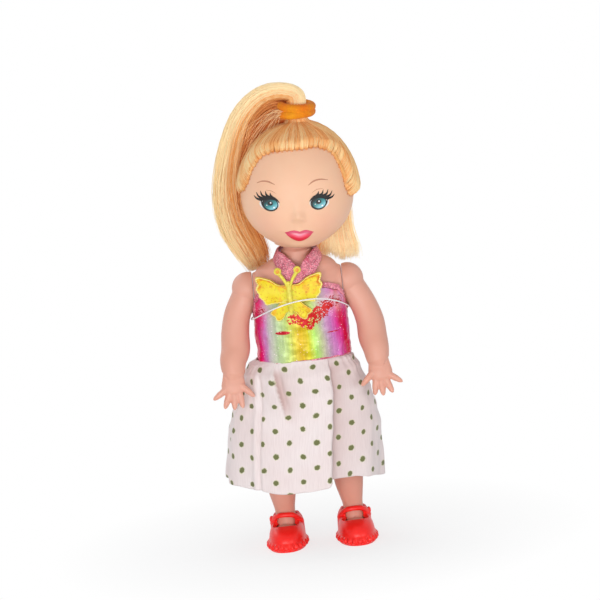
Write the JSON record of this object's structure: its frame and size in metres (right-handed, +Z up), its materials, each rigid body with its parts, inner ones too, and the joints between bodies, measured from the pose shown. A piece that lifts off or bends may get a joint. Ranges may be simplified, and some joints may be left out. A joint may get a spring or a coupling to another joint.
{
  "type": "princess doll",
  "caption": "Small jointed child doll with a side-falling ponytail, painted face, halter dress with butterfly trim and dotted skirt, and moulded bar shoes; head, arms and legs turn.",
  "frame": {"origin": "on the ground at the centre of the bounding box's footprint, midway between the soles", "axes": "+Z up, the doll faces -Y, its own left hand is on the +X side"},
  "size_m": [0.0494, 0.031, 0.1198],
  "materials": {
    "skin": "hard moulded plastic in a skin tone, low sheen",
    "face_vinyl": "soft vinyl in a paler skin tone, satin",
    "hair": "straight glossy synthetic hair, golden blonde",
    "hair_tie": "orange elastic band, soft",
    "bodice_foil": "iridescent foil cloth, creased, turning from yellow green to magenta",
    "pink_glitter": "pink cloth with fine glitter",
    "tape": "white hook and loop tape",
    "butterfly": "yellow moulded plastic with orange lines",
    "elastic": "thin white elastic",
    "skirt_cloth": "thin ribbed white cloth printed with small olive dots",
    "shoe": "glossy red soft plastic"
  },
  "bodies": {
    "torso": {"torso_front": "skin", "torso_back": "skin", "bodice": "bodice_foil", "bodice_trim": "pink_glitter", "halter_strap": "pink_glitter", "closure_hook_tape": "tape", "closure_loop_tape": "tape", "butterfly": "butterfly", "chest_elastic": "elastic", "skirt": "skirt_cloth"},
    "head": {"head": "face_vinyl", "scalp_hair": "hair", "hair_tie": "hair_tie", "ponytail": "hair", "back_hair": "hair"},
    "left_arm": {"left_arm": "skin"},
    "right_arm": {"right_arm": "skin"},
    "left_leg": {"left_leg": "skin", "left_shoe": "shoe"},
    "right_leg": {"right_leg": "skin", "right_shoe": "shoe"}
  },
  "joints": [
    {"name": "head_turn", "type": "hinge", "parent": "torso", "child": "head", "pos_m": [0.0006, 0, 0.0784], "axis": [0, 0, 1], "continuous": true},
    {"name": "left_arm_swing", "type": "hinge", "parent": "torso", "child": "left_arm", "pos_m": [0.0112, 0, 0.0678], "axis": [1, 0, 0], "range_deg": [-140, 60]},
    {"name": "right_arm_swing", "type": "hinge", "parent": "torso", "child": "right_arm", "pos_m": [-0.0112, 0, 0.0678], "axis": [1, 0, 0], "range_deg": [-140, 60]},
    {"name": "left_leg_swing", "type": "hinge", "parent": "torso", "child": "left_leg", "pos_m": [0.0079, 0, 0.041], "axis": [1, 0, 0], "range_deg": [-90, 25], "deforming": ["skirt"]},
    {"name": "right_leg_swing", "type": "hinge", "parent": "torso", "child": "right_leg", "pos_m": [-0.0079, 0, 0.041], "axis": [1, 0, 0], "range_deg": [-90, 25], "deforming": ["skirt"]}
  ]
}
